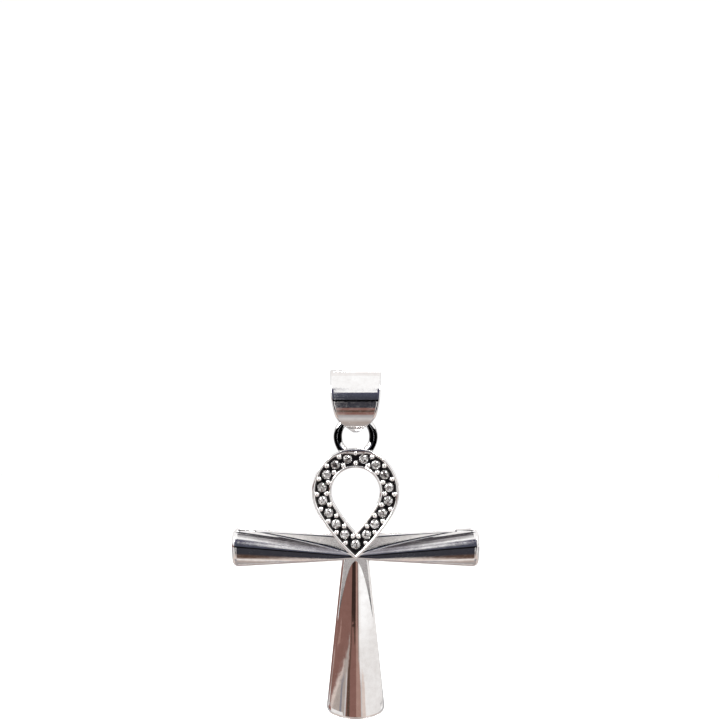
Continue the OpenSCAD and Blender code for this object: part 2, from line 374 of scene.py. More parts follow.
@dataclass(frozen=True)
class CutStone:
    """A clear cut stone with dark patches painted on it as painted reflections of its facets."""

    name: str
    # The first tone is the stone's clear colour, the second the dark tone of the painted facet reflections.
    bright: Colour = (0.99, 0.98, 0.97)
    painted_dark_facet: Colour = (0.09, 0.075, 0.07)
    painted_facet_scale: float = 3300.0
    clarity: float = 0.85
    refraction: float = 2.15

    def build(self) -> bpy.types.Material:
        """Builds the node tree.

        Returns:
            The material.
        """
        n = Nodes(self.name)
        out = n.node("ShaderNodeOutputMaterial")
        shader = n.node("ShaderNodeBsdfPrincipled")
        shader.inputs["Transmission Weight"].default_value = self.clarity
        shader.inputs["IOR"].default_value = self.refraction
        shader.inputs["Specular IOR Level"].default_value = 0.9
        n.link(shader.outputs["BSDF"], out.inputs["Surface"])
        plain = n.coordinates()
        # Painted reflections: Voronoi cells split the stone into clear patches and dark facet patches.
        painted_facet_cells = n.node("ShaderNodeTexVoronoi")
        painted_facet_cells.inputs["Scale"].default_value = self.painted_facet_scale
        n.link(plain, painted_facet_cells.inputs["Vector"])
        split = n.node("ShaderNodeSeparateColor")
        n.link(painted_facet_cells.outputs["Color"], split.inputs["Color"])
        n.link(n.mixed(n.ranged(split.outputs[0], 0.42, 0.66, 0, 1), self.painted_dark_facet, self.bright),
               shader.inputs["Base Color"])
        n.link(n.ranged(n.noise(plain, 4000, 3, 0.6), 0.4, 0.8, 0.0, 0.05), shader.inputs["Roughness"])
        return n.material


# The cross


@dataclass(frozen=True)
class FlaredBar:
    """A flat bar that widens to a bowed end, with a cone rising along it from a point at its root."""

    length: float
    root_w: float
    tip_w: float
    corner_r: float
    end_r: float
    rise: float
    back: float
    foot_y: float = 0.0
    foot_x: float = 0.15
    start_x: float = 0.0
    plate_t: float = 0.9
    edge_w: float = 0.35
    edge_power: float = 1.35
    valley: float = 0.0
    valley_w: float = 0.8
    bow_from: float = 1.0
    stations: int = 70
    station_power: float = 1.5
    strip_lines: int = 12
    strip_power: float = 1.6
    cone_lines: int = 84
    corner_steps: int = 40
    bow_steps: int = 80
    edge_steps: int = 8
    foot_round: tuple[tuple[float, float], ...] = ((1.0, 0.16), (0.97, 0.09), (0.87, 0.03), (0.7, 0.0))

    def _lean(self) -> float:
        """The angle of the bar's sides to its middle line."""
        return math.atan((self.tip_w - self.root_w) / 2 / self.length)

    def _stations(self) -> np.ndarray:
        """The stations along the bar from 0 to 1, closer near its root."""
        return np.linspace(0, 1, self.stations + 1) ** self.station_power

    def _end(self, inset: float) -> tuple[np.ndarray, np.ndarray]:
        """The bar's end, drawn in by a width, from its lower touching point to its upper one.

        Args:
            inset: width by which the outline is drawn in.

        Returns:
            Points and their outward directions, spaced evenly by length.
        """
        lean = self._lean()
        slope = math.tan(lean)
        start = self.root_w / 2 - self.corner_r / math.cos(lean)
        end_x = self.length - self.end_r
        half = slope * start - end_x
        rest = end_x ** 2 + start ** 2 - (self.end_r - self.corner_r) ** 2
        cx = (-half + math.sqrt(half ** 2 - (1 + slope ** 2) * rest)) / (1 + slope ** 2)
        cy = start + slope * cx
        bow = math.degrees(math.atan2(cy, cx - end_x))
        turn = 90 + math.degrees(lean)
        arcs = [(cx, -cy, self.corner_r, -turn, -bow, self.corner_steps),
                (end_x, 0.0, self.end_r, -bow, bow, self.bow_steps),
                (cx, cy, self.corner_r, bow, turn, self.corner_steps)]
        points, outward = [], []
        for x, y, r, a, b, steps in arcs:
            outer = arc_points(x, y, r - inset, a, b, steps)
            points.append(outer)
            outward.append((outer - (x, y)) / (r - inset))
        line, away = np.concatenate(points), np.concatenate(outward)
        run = np.concatenate([[0], np.cumsum(np.linalg.norm(np.diff(line, axis=0), axis=1))])
        spaced = 0.5 - 0.5 * np.cos(np.linspace(0, math.pi, self.cone_lines + 1))
        even = np.linspace(0, 1, self.cone_lines + 1)
        at = run[-1] * (0.55 * spaced + 0.45 * even)
        line = np.stack([np.interp(at, run, line[:, k]) for k in (0, 1)], axis=1)
        away = np.stack([np.interp(at, run, away[:, k]) for k in (0, 1)], axis=1)
        return line, away / np.linalg.norm(away, axis=1, keepdims=True)

    def _cone_height(self, p: np.ndarray) -> np.ndarray:
        """Height of the cone over the plate, below 0 where the cone dips under it.

        Args:
            p: places, whose last axis is x and y.

        Returns:
            The heights, shaped as p without its last axis.
        """
        touch = self.length - self.corner_r - self.foot_x
        low_turn, top_turn = (math.atan((s * self.tip_w / 2 - self.foot_y) / touch) for s in (-1, 1))
        middle, turn, rise = (top_turn + low_turn) / 2, (top_turn - low_turn) / 2, math.radians(self.rise)
        side = np.array([touch + self.back, touch * math.tan(turn), self.back * math.tan(rise)])
        side /= np.linalg.norm(side)
        lie = math.atan((math.cos(rise) - side[0]) / (math.sin(rise) - side[2]))
        rel = p - (self.foot_x, self.foot_y)
        x = rel[..., 0] * math.cos(middle) + rel[..., 1] * math.sin(middle) + self.back
        y = -rel[..., 0] * math.sin(middle) + rel[..., 1] * math.cos(middle)
        c2 = math.cos(lie + rise) ** 2
        a = math.sin(lie) ** 2 - c2
        b = -2 * x * math.cos(lie) * math.sin(lie)
        c = (x * math.cos(lie)) ** 2 - (x ** 2 + y ** 2) * c2
        height = (-b - np.sqrt(np.maximum(b * b - 4 * a * c, 0))) / (2 * a) - self.back * math.tan(rise)
        return np.where(p[..., 0] > self.foot_x, height, np.minimum(height, 0))

    def _crease(self, xs: np.ndarray, edge: np.ndarray) -> np.ndarray:
        """Where the cone meets the plate between the ridge's line and an edge.

        Args:
            xs: places along the bar.
            edge: the edge's y at those places.

        Returns:
            The y of each meeting, or of the edge where the cone runs off it.
        """
        inner, outer = np.full(len(xs), self.foot_y), edge.copy()
        for _ in range(40):
            middle = (inner + outer) / 2
            above = self._cone_height(np.stack([xs, middle], axis=-1)) > 0
            inner, outer = np.where(above, middle, inner), np.where(above, outer, middle)
        return np.where(np.abs(inner - edge) < 0.01, edge, inner)

    def _plan(self, end: np.ndarray) -> np.ndarray:
        """The front's grid seen flat: a strip at each side and the cone's foot between them.

        Args:
            end: the bar's end, as _end gives it.

        Returns:
            x and y of every point, a row to each station.
        """
        lean = self._lean()
        xs = self.start_x + (end[-1, 0] - self.start_x) * self._stations()
        edge_y = self.root_w / 2 - self.edge_w / math.cos(lean) + math.tan(lean) * xs
        edge_y[-1] = end[-1, 1]
        creases = [self._crease(xs, s * edge_y) for s in (-1, 1)]
        creases[0][-1], creases[1][-1] = end[0, 1], end[-1, 1]
        touch_x = end[-1, 0]
        bowed = np.clip((xs - self.bow_from) / (touch_x - self.bow_from), 0, 1)[:, None]
        share = (end[:, 1] - end[0, 1]) / (end[-1, 1] - end[0, 1])
        share = bowed * share[None] + (1 - bowed) * np.linspace(0, 1, len(end))[None]
        cone = np.stack([xs[:, None] + bowed * (end[None, :, 0] - touch_x),
                         creases[0][:, None] + (creases[1] - creases[0])[:, None] * share], axis=-1)
        k = 1 - (1 - np.linspace(0, 1, self.strip_lines + 1)[:-1]) ** self.strip_power
        strips = []
        for side, crease in zip((-1, 1), creases):
            y = (side * edge_y)[:, None] + (crease - side * edge_y)[:, None] * k[None]
            strips.append(np.stack([np.broadcast_to(xs[:, None], y.shape), y], axis=-1))
        return np.concatenate([strips[0], cone, strips[1][:, ::-1]], axis=1)

    def _front(self, end: np.ndarray) -> np.ndarray:
        """The front with its cone, and the soft valley beside the cone's upper side.

        Args:
            end: the bar's end, as _end gives it.

        Returns:
            The front grid in the bar's own x, y and z.
        """
        flat = self._plan(end)
        raw = self._cone_height(flat)
        upper = np.clip((flat[..., 1] - self.foot_y) / self.valley_w, 0, 1)
        soft = self.valley * np.sin(math.pi * np.clip(self._stations(), 0, 1))[:, None] ** 0.5 * upper
        soft[:, [0, -1]] = soft[-1] = 0
        lift = np.where(soft > 0, 0.5 * (raw + np.sqrt(raw ** 2 + soft ** 2)), np.maximum(raw, 0))
        return np.concatenate([flat, (self.plate_t + lift)[..., None]], axis=2)

    def surfaces(self) -> tuple[np.ndarray, np.ndarray, np.ndarray]:
        """The bar's skin in its own x, y and z, with its root end open.

        Returns:
            The front grid, the grid of rings round its edge from front to back, and the back grid.
        """
        end, away = self._end(self.edge_w)
        lean = self._lean()
        front = self._front(end)
        low, high = front[:, 0], front[:, -1][::-1]
        tip = front[-1, self.strip_lines:self.strip_lines + len(end)]
        rim = np.concatenate([low[:-1], tip, high[1:]])
        out_low = np.tile((-math.sin(lean), -math.cos(lean)), (len(low) - 1, 1))
        out_high = np.tile((-math.sin(lean), math.cos(lean)), (len(high) - 1, 1))
        out_low[0] = (0, -1 / math.cos(lean))
        out_high[-1] = (0, 1 / math.cos(lean))
        outward = np.concatenate([out_low, away, out_high])
        rings = []
        for q in np.linspace(0, 1, self.edge_steps + 1)[1:]:
            drop = self.edge_w * (1 - (1 - q ** self.edge_power) ** (1 / self.edge_power))
            rings.append((q * self.edge_w, -drop, True))
        for out_by, z in self.foot_round:
            rings.append((out_by * self.edge_w, z, False))
        grid = [rim]
        for out_by, z, from_front in rings:
            height = rim[:, 2] + z if from_front else np.full(len(rim), z)
            grid.append(np.concatenate([rim[:, :2] + outward * out_by, height[:, None]], axis=1))
        back, under = front.copy(), rim.copy()
        back[..., 2] = under[:, 2] = 0.0
        grid.append(under)
        return front, np.stack(grid), back


@dataclass
class Cross:
    """The flared crossbar and stem."""

    back_y: float = 0.85
    back_inset: float = 0.012
    low_z: float = -27.195
    arm_z: float = -25.345
    arm_satin: float = 0.15
    stem_satin: float = 0.35
    arm: FlaredBar = field(default_factory=lambda: FlaredBar(
        length=18.15, root_w=3.7, tip_w=5.65, corner_r=0.85, end_r=16, rise=5.5, back=20, foot_y=-1.5,
        valley=0.08))
    stem: FlaredBar = field(default_factory=lambda: FlaredBar(
        length=23.2, root_w=4.0, tip_w=8.9, corner_r=1.3, end_r=9.5, rise=4.5, back=40, start_x=-0.35))

    def _arm_place(self, p: np.ndarray, side: int) -> np.ndarray:
        """Puts points of an arm in the frame, on the right side for 1 and the left for -1."""
        return np.stack([side * p[..., 0], self.back_y - p[..., 2], self.arm_z + p[..., 1]], axis=-1)

    def _stem_place(self, p: np.ndarray) -> np.ndarray:
        """Puts points of the stem in the frame, its back a little in front of the crossbar's."""
        height = np.maximum(p[..., 2], self.back_inset)
        return np.stack([p[..., 1], self.back_y - height, self.low_z - p[..., 0]], axis=-1)

    def crossbar(self, material: bpy.types.Material) -> bpy.types.Object:
        """Both arms as one piece, duller along their upper edge near the root.

        Args:
            material: its finish.

        Returns:
            The finished piece.
        """
        shell = Shell()
        for side in (-1, 1):
            for grid in self.arm.surfaces():
                near_root, high = np.clip(1.3 - grid[..., 0] / 6, 0, 1), np.clip(grid[..., 1] * 4 - 1.6, 0, 1)
                dull = self.arm_satin * near_root * high
                shell.quads(shell.add(self._arm_place(grid, side), satin=dull))
        return shell.finish("crossbar", material, 28)

    def stem_piece(self, material: bpy.types.Material) -> bpy.types.Object:
        """The stem, duller on its flats near the root, where it is closed inside the crossbar.

        Args:
            material: its finish.

        Returns:
            The finished piece.
        """
        shell = Shell()
        front, rings, back = (self._stem_place(g) for g in self.stem.surfaces())
        dull = self.stem_satin * np.clip(1.6 - (self.low_z - front[..., 2]) / 5, 0, 1)
        dull[:, self.stem.strip_lines:-self.stem.strip_lines] = 0.0
        numbers = [shell.add(front, satin=dull), shell.add(rings), shell.add(back)]
        for rows in numbers:
            shell.quads(rows)
        root_front, root_back = numbers[0][0], numbers[2][0]
        loop = [*root_front, *numbers[1][1:, -1], *root_back[::-1][1:], *numbers[1][::-1][1:, 0]]
        seen: list[int] = []
        spots: list[tuple[float, ...]] = []
        every = np.concatenate(shell.points)
        for number in loop:
            spot = tuple(np.round(every[number], 5))
            if spot not in spots:
                spots.append(spot)
                seen.append(int(number))
        shell.faces.append(tuple(seen))
        return shell.finish("stem", material, 20)


# The loop


@dataclass
class Loop:
    """The teardrop loop: two raised rims and a channel that holds the stones."""

    centre_z: float = -17.145
    outer_r: float = 6.4
    drop: float = 9.9
    side_angle: float = 31.0
    band: float = 2.85
    back_y: float = 0.835
    rim_y: float = -0.85
    outer_rim: float = 0.42
    inner_rim: float = 0.38
    channel_depth: float = 0.5
    first_stone: float = 1.2
    tip_stone_gap: float = 0.35
    side_stones: int = 8
    seat_r: float = 0.5
    seat_slope: float = 0.82
    grain_r: float = 0.42
    grain_reach: float = 0.72
    dome: float = 0.17
    swell: float = 0.5
    swell_angle: float = 15.0
    top_rows: int = 170
    side_rows: int = 130

    def __post_init__(self) -> None:
        """Works out the side arcs and the stones' line."""
        sin, cos = math.sin(math.radians(self.side_angle)), math.cos(math.radians(self.side_angle))
        reach = (self.drop ** 2 - self.outer_r ** 2) / (2 * (self.outer_r - self.drop * sin))
        self.side_r = reach + self.outer_r
        self.side_x, self.side_z = reach * cos, reach * sin
        self.floor_y = self.rim_y + self.channel_depth
        self.mid_r = self.outer_r - self.band / 2
        self.mid_side_r = self.side_r - self.band / 2
        self.top_run = self.mid_r * math.radians(90 + self.side_angle)
        tip = math.degrees(math.acos(self.side_x / self.mid_side_r)) - self.side_angle
        self.side_run = self.mid_side_r * math.radians(tip)
        self.pitch = (self.top_run + self.side_run - self.tip_stone_gap - self.first_stone) / self.side_stones

    def on_line(self, run: float) -> tuple[float, float, float]:
        """Place on the stones' line, down the right side.

        Args:
            run: distance along the line from the loop's top.

        Returns:
            x, z and the outward direction's angle in degrees.
        """
        if run <= self.top_run:
            a = 90 - math.degrees(run / self.mid_r)
            r, cx, cz = self.mid_r, 0.0, 0.0
        else:
            a = -self.side_angle - math.degrees((run - self.top_run) / self.mid_side_r)
            r, cx, cz = self.mid_side_r, -self.side_x, self.side_z
        rad = math.radians(a)
        return cx + r * math.cos(rad), cz + r * math.sin(rad) + self.centre_z, a

    def stone_places(self) -> np.ndarray:
        """Works out where the stones sit.

        Returns:
            Every stone's x and z.
        """
        spots = []
        for k in range(self.side_stones):
            x, z, _ = self.on_line(self.first_stone + self.pitch * k)
            spots += [(x, z), (-x, z)]
        spots.append((0.0, self.on_line(self.top_run + self.side_run - self.tip_stone_gap)[1]))
        return np.array(spots)

    def grain_places(self) -> np.ndarray:
        """Works out where the prong grains sit, two between each pair of stones.

        Returns:
            Every grain's centre.
        """
        spots = []
        runs = [0.0] + [self.first_stone + self.pitch * (k + 0.5) for k in range(self.side_stones)]
        for run in runs:
            x, z, a = self.on_line(run)
            c, s = math.cos(math.radians(a)), math.sin(math.radians(a))
            for d in (-self.grain_reach, self.grain_reach):
                for side in ((1,) if run == 0 else (-1, 1)):
                    spots.append((side * (x + d * c), self.floor_y - self.grain_r / 4, z + d * s))
        return np.array(spots)

    def rail(self, inset: float) -> np.ndarray:
        """The loop's outline drawn in by a width, round from its top down the right side and back up the left.

        Args:
            inset: width by which the outline is drawn in.

        Returns:
            Array of x and z, without a second point at the top.
        """
        top = arc_points(0, 0, self.outer_r - inset, 90, -self.side_angle, self.top_rows)
        r = self.side_r - inset
        tip = -math.acos(self.side_x / r)
        f = 1 - (1 - np.linspace(0, 1, self.side_rows + 1)) ** 1.5
        a = -math.radians(self.side_angle) + (tip + math.radians(self.side_angle)) * f
        side = np.stack([-self.side_x + r * np.cos(a), self.side_z + r * np.sin(a)], axis=1)
        right = np.concatenate([top, side[1:]])
        right[-1, 0] = right[0, 0] = 0.0
        left = right[1:-1][::-1] * (-1, 1)
        return np.concatenate([right, left]) + (0, self.centre_z)

    def profile(self) -> list[tuple[float, float, bool]]:
        """The band's cross-section, round from its outer side.

        Returns:
            For each point its inset from the outline, its depth, and whether it lies in the channel.
        """
        back, rim, floor, w = self.back_y, self.rim_y, self.floor_y, self.band
        o, i = self.outer_rim, w - self.inner_rim

        def dome(left: float, right: float) -> list[tuple[float, float, bool]]:
            """A rim's rounded top from its left side to its right one."""
            mid, half = (left + right) / 2, (right - left) / 2
            return [(mid - half * math.cos(a), rim + self.dome * (1 - math.sin(a)), False)
                    for a in np.linspace(0, math.pi, 13)]

        rows = [(0.16, back, False), (0.05, back - 0.035, False), (0.0, back - 0.14, False),
                (0.0, rim + 0.5, False)]
        rows += dome(0.0, o)
        rows += [(o, rim + 0.3, True), (o, floor - 0.1, True), (o + 0.02, floor - 0.03, True)]
        rows += [(o + 0.07 + (i - o - 0.14) * k / 27, floor, True) for k in range(28)]
        rows += [(i - 0.02, floor - 0.03, True), (i, floor - 0.1, True), (i, rim + 0.3, True)]
        rows += dome(i, w)
        rows += [(w, rim + 0.5, False), (w, back - 0.14, False), (w - 0.05, back - 0.035, False),
                 (w - 0.16, back, False)]
        return rows

    def band_piece(self, material: bpy.types.Material) -> bpy.types.Object:
        """The band with its rims, and a conical seat in the channel's floor under each stone.

        Args:
            material: its finish.

        Returns:
            The finished piece.
        """
        shell = Shell()
        stones = self.stone_places()
        columns, depth = [], []
        for inset, y, channel in self.profile():
            rail = self.rail(inset)
            turn = np.arctan2(rail[:, 0], rail[:, 1] - self.centre_z)
            share = min(inset / self.outer_rim, (self.band - inset) / (self.band - self.outer_rim))
            more = self.swell * share * np.exp(-(np.degrees(turn) / self.swell_angle) ** 2)
            rail = rail - more[:, None] * np.stack([np.sin(turn), np.cos(turn)], axis=1)
            ys = np.full(len(rail), y)
            if channel and abs(y - self.floor_y) < 1e-6:
                near = np.min(np.linalg.norm(rail[:, None] - stones[None], axis=2), axis=1)
                ys = ys + np.maximum(0.0, self.seat_r - near) * self.seat_slope
            columns.append(np.stack([rail[:, 0], ys, rail[:, 1]], axis=1))
            # Channel points get 1, which the finish paints as shade.
            depth.append(np.full(len(rail), 1.0 if channel else 0.0))
        grid = np.stack(columns, axis=1)
        numbers = shell.add(grid, recess=np.stack(depth, axis=1))
        shell.quads(numbers, wrap_rows=True, wrap_columns=True)
        return shell.finish("loop", material, 60)


class GrainTree:
    """Geometry Nodes that set a prong grain on every point of a mesh."""

    INPUTS = (("Grain radius", "NodeSocketFloat"), ("Size spread", "NodeSocketFloat"),
              ("Seed", "NodeSocketInt"), ("Finish", "NodeSocketMaterial"))

    def __init__(self) -> None:
        """Builds the tree."""
        tree = bpy.data.node_groups.new("prong_grains", "GeometryNodeTree")
        tree.interface.new_socket("Geometry", in_out="INPUT", socket_type="NodeSocketGeometry")
        for name, kind in self.INPUTS:
            tree.interface.new_socket(name, in_out="INPUT", socket_type=kind)
        tree.interface.new_socket("Geometry", in_out="OUTPUT", socket_type="NodeSocketGeometry")
        new, link = tree.nodes.new, tree.links.new
        given, result = new("NodeGroupInput"), new("NodeGroupOutput")
        points = new("GeometryNodeMeshToPoints")
        ball = new("GeometryNodeMeshIcoSphere")
        ball.inputs["Subdivisions"].default_value = 4
        smooth = new("GeometryNodeSetShadeSmooth")
        spread = new("FunctionNodeRandomValue")
        spread.data_type = "FLOAT_VECTOR"
        low, high = new("ShaderNodeMath"), new("ShaderNodeMath")
        low.operation, high.operation = "SUBTRACT", "ADD"
        low.inputs[0].default_value = high.inputs[0].default_value = 1.0
        turn = new("FunctionNodeRandomValue")
        turn.data_type = "FLOAT_VECTOR"
        turn.inputs[0].default_value = (0, -3.14, 0)
        turn.inputs[1].default_value = (0, 3.14, 0)
        instance = new("GeometryNodeInstanceOnPoints")
        realize = new("GeometryNodeRealizeInstances")
        dress = new("GeometryNodeSetMaterial")
        link(given.outputs["Geometry"], points.inputs["Mesh"])
        link(given.outputs["Grain radius"], ball.inputs["Radius"])
        link(ball.outputs["Mesh"], smooth.inputs["Geometry"])
        link(given.outputs["Size spread"], low.inputs[1])
        link(given.outputs["Size spread"], high.inputs[1])
        link(low.outputs[0], spread.inputs[0])
        link(high.outputs[0], spread.inputs[1])
        link(given.outputs["Seed"], spread.inputs["Seed"])
        link(given.outputs["Seed"], turn.inputs["Seed"])
        link(points.outputs["Points"], instance.inputs["Points"])
        link(smooth.outputs["Geometry"], instance.inputs["Instance"])
        link(spread.outputs[0], instance.inputs["Scale"])
        link(turn.outputs[0], instance.inputs["Rotation"])
        link(instance.outputs["Instances"], realize.inputs["Geometry"])
        link(realize.outputs["Geometry"], dress.inputs["Geometry"])
        link(given.outputs["Finish"], dress.inputs["Material"])
        link(dress.outputs["Geometry"], result.inputs["Geometry"])
        self.tree = tree

    def apply(self, name: str, spots: np.ndarray, **values: object) -> bpy.types.Object:
        """Runs the tree on points and keeps the result as a plain mesh.

        Args:
            name: the piece's name.
            spots: the grains' centres in millimetres.
            values: the tree's inputs by name, with underscores for spaces.

        Returns:
            The finished object.
        """
        mesh = bpy.data.meshes.new(name + "_points")
        mesh.from_pydata((spots * MM).tolist(), [], [])
        source = bpy.data.objects.new(name + "_points", mesh)
        bpy.context.scene.collection.objects.link(source)
        modifier = source.modifiers.new("grains", "NODES")
        modifier.node_group = self.tree
        for item in self.tree.interface.items_tree:
            key = item.name.replace(" ", "_")
            if item.in_out == "INPUT" and key in values:
                modifier[item.identifier] = values[key]
        result = bpy.data.meshes.new_from_object(
            source.evaluated_get(bpy.context.evaluated_depsgraph_get()))
        source.modifiers.remove(modifier)
        bpy.data.objects.remove(source)
        result.name = name
        obj = bpy.data.objects.new(name, result)
        bpy.context.scene.collection.objects.link(obj)
        LOG.info("%s: %d faces", name, len(result.polygons))
        return obj


# The eyelet


@dataclass
class Eyelet:
    """The soldered ring on top of the loop, thicker where the solder holds it."""

    centre_z: float = -9.045
    r: float = 2.7
    bar_r: float = 0.55
    flat: float = 0.3
    foot_x: float = 1.85
    foot_z: float = -11.0
    foot_r: float = 0.62
    foot_swell: float = 0.16
    foot_spread: float = 0.28
    foot_lean: float = 32.0
    end_angle: float = -50.0
    around: int = 130
    across: int = 40

    def ring_piece(self, material: bpy.types.Material) -> bpy.types.Object:
        """The ring as one closed mesh that swells into its two solder feet, with its ends inside the loop.

        Args:
            material: its finish.

        Returns:
            The finished piece.
        """
        shell = Shell()
        end = math.radians(self.end_angle)
        a = np.linspace(end, math.pi - end, self.around)[:, None]
        b = np.linspace(0, 2 * math.pi, self.across, endpoint=False)[None]
        foot = math.atan2(self.foot_z - self.centre_z, self.foot_x)
        swell = sum(np.exp(-((np.angle(np.exp(1j * (a - f)))) / self.foot_spread) ** 2)
                    for f in (foot, math.pi - foot))
        bar = self.bar_r * (1 + self.foot_swell * swell)
        inward = 1 + self.flat * np.cos(a) ** 4 * np.clip(-np.cos(b), 0, 1)
        x = (self.r + bar * inward * np.cos(b)) * np.cos(a)
        z = (self.r + bar * inward * np.cos(b)) * np.sin(a) + self.centre_z
        y = np.broadcast_to(bar * np.sin(b), x.shape)
        numbers = shell.add(np.stack([x, y, z], axis=-1))
        shell.quads(numbers, wrap_columns=True)
        shell.faces += [tuple(int(n) for n in numbers[0]), tuple(int(n) for n in numbers[-1][::-1])]
        return shell.finish("eyelet", material)

    def solder_piece(self, material: bpy.types.Material) -> bpy.types.Object:
        """Two slightly lumpy drops of solder beside the ring.

        Args:
            material: its finish.

        Returns:
            The finished piece.
        """
        shell = Shell()
        for side in (-1, 1):
            a = np.linspace(0, math.pi, 25)[:, None]
            b = np.linspace(0, 2 * math.pi, 48, endpoint=False)[None]
            lump = 1 + 0.05 * np.sin(3 * b + side) * np.sin(a) ** 2 + 0.03 * np.sin(5 * b) * np.sin(2 * a) ** 2
            x = 1.12 * self.foot_r * lump * np.sin(a) * np.cos(b)
            z = 0.9 * self.foot_r * lump * np.sin(a) * np.sin(b)
            y = np.broadcast_to(-self.foot_r * np.cos(a), x.shape)
            tilt = math.radians(-self.foot_lean * side)
            xr, zr = x * math.cos(tilt) - z * math.sin(tilt), x * math.sin(tilt) + z * math.cos(tilt)
            points = np.stack([side * self.foot_x + xr, y, self.foot_z + zr], axis=-1)
            shell.quads(shell.add(points), wrap_columns=True)
        return shell.finish("solder", material)


# The bail


@dataclass
class Bail:
    """A strip bent into a closed leaf shape, wide at its top and narrow at the bend that holds the eyelet."""

    thick: float = 0.7
    top_r: float = 1.4
    side_r: float = 4.3
    bend_r: float = 0.95
    hinge_z: float = -6.8
    edge_r: float = 0.16
    half_width: tuple[tuple[float, float], ...] = (
        (-8.5, 0.3), (-8.3, 0.55), (-8.0, 0.95), (-7.7, 1.35), (-7.45, 1.7), (-7.2, 2.03), (-6.8, 2.47),
        (-6.2, 2.886), (-5.6, 3.12), (-4.9, 3.29), (-4.2, 3.44), (-3.2, 3.58), (-2.0, 3.66), (-1.0, 3.69),
        (0.8, 3.7))
    width_steps: int = 600
    smoothing: int = 15

    def _centre_line(self) -> tuple[np.ndarray, np.ndarray]:
        """The strip's middle line, all the way round.

        Returns:
            Its points in y and z, and their outward directions.
        """
        top_z = -self.top_r
        span = top_z - self.hinge_z
        mid_z = (top_z + self.hinge_z) / 2 + (self.top_r - self.bend_r) * (
            2 * self.side_r - self.bend_r - self.top_r) / (2 * span)
        side_y = math.sqrt((self.side_r - self.top_r) ** 2 - (top_z - mid_z) ** 2)
        up = math.degrees(math.atan2(top_z - mid_z, side_y))
        down = math.degrees(math.atan2(mid_z - self.hinge_z, side_y))
        arcs = ((-side_y, mid_z, self.side_r, -down, up, 110), (0, top_z, self.top_r, up, 180 - up, 48),
                (side_y, mid_z, self.side_r, 180 - up, 180 + down, 110),
                (0, self.hinge_z, self.bend_r, 180 + down, 360 - down, 48))
        line, out = [], []
        for cy, cz, r, a, b, steps in arcs:
            points = arc_points(cy, cz, r + self.thick / 2, a, b, steps)[:-1]
            line.append(points)
            out.append((points - (cy, cz)) / (r + self.thick / 2))
        return np.concatenate(line), np.concatenate(out)

    def _half_width(self, z: np.ndarray) -> np.ndarray:
        """Half the strip's width, smoothed between the heights that are given.

        Args:
            z: the heights.

        Returns:
            Half the width at each.
        """
        zs, ws = (np.array(v) for v in zip(*self.half_width))
        fine = np.linspace(zs[0], zs[-1], self.width_steps)
        kernel = np.hanning(2 * self.smoothing + 1)
        padded = np.pad(np.interp(fine, zs, ws), self.smoothing, mode="edge")
        return np.interp(z, fine, np.convolve(padded, kernel / kernel.sum(), mode="valid"))

    def strip_piece(self, material: bpy.types.Material) -> bpy.types.Object:
        """The bent strip with rounded edges as one closed mesh.

        Args:
            material: its finish.

        Returns:
            The finished piece.
        """
        shell = Shell()
        line, out = self._centre_line()
        h, r = self.thick / 2 - 0.005, self.edge_r
        corner = [(h - r + r * math.cos(a), r - r * math.sin(a)) for a in np.linspace(0, math.pi / 2, 6)]
        flat = np.linspace(-1, 1, 25)
        section: list[tuple[float, float, float]] = [(h, r, s) for s in flat]
        section += [(o, e, 1.0) for o, e in corner[1:]]
        section += [(-o, e, 1.0) for o, e in corner[::-1]]
        section += [(-h, r, s) for s in flat[::-1][1:]]
        section += [(-o, e, -1.0) for o, e in corner[1:]]
        section += [(o, e, -1.0) for o, e in corner[::-1][:-1]]
        rows = []
        for offset, edge, share in section:
            p = line + out * offset
            rows.append(np.stack([share * (self._half_width(p[:, 1]) - edge), p[:, 0], p[:, 1]], axis=1))
        grid = np.stack(rows, axis=1)
        shell.quads(shell.add(grid), wrap_rows=True, wrap_columns=True)
        return shell.finish("bail_strip", material)


# The stage


STAGE_Z = -0.02
SIDE_SEED = 5
TOP_SEED = 11
FEW_COLUMNS = 24
MANY_COLUMNS = 120
WIDE_ANGLE = 90


class Tone(Enum):
    """The tones of the tent and the reflectors, from light to dark."""

    WHITE = (1.04, 1.04, 1.04)
    PEARL = (0.95, 0.93, 0.92)
    PALE = (0.86, 0.84, 0.83)
    ROSE = (0.72, 0.61, 0.56)
    ASH = (0.61, 0.58, 0.57)
    LEAD = (0.50, 0.49, 0.50)
    MIST = (0.42, 0.42, 0.48)
    TAUPE = (0.43, 0.37, 0.34)
    GREY = (0.35, 0.33, 0.34)
    COPPER = (0.40, 0.25, 0.21)
    SMOKE = (0.25, 0.24, 0.27)
    BROWN = (0.235, 0.12, 0.10)
    NAVY = (0.085, 0.082, 0.13)
    SLATE = (0.07, 0.075, 0.105)
    DUSK = (0.07, 0.065, 0.072)
    UMBER = (0.10, 0.06, 0.045)
    INK = (0.04, 0.04, 0.05)
    SOOT = (0.04, 0.022, 0.018)


Span = tuple[float, float, float]
Stop = tuple[float, float, float, Tone]


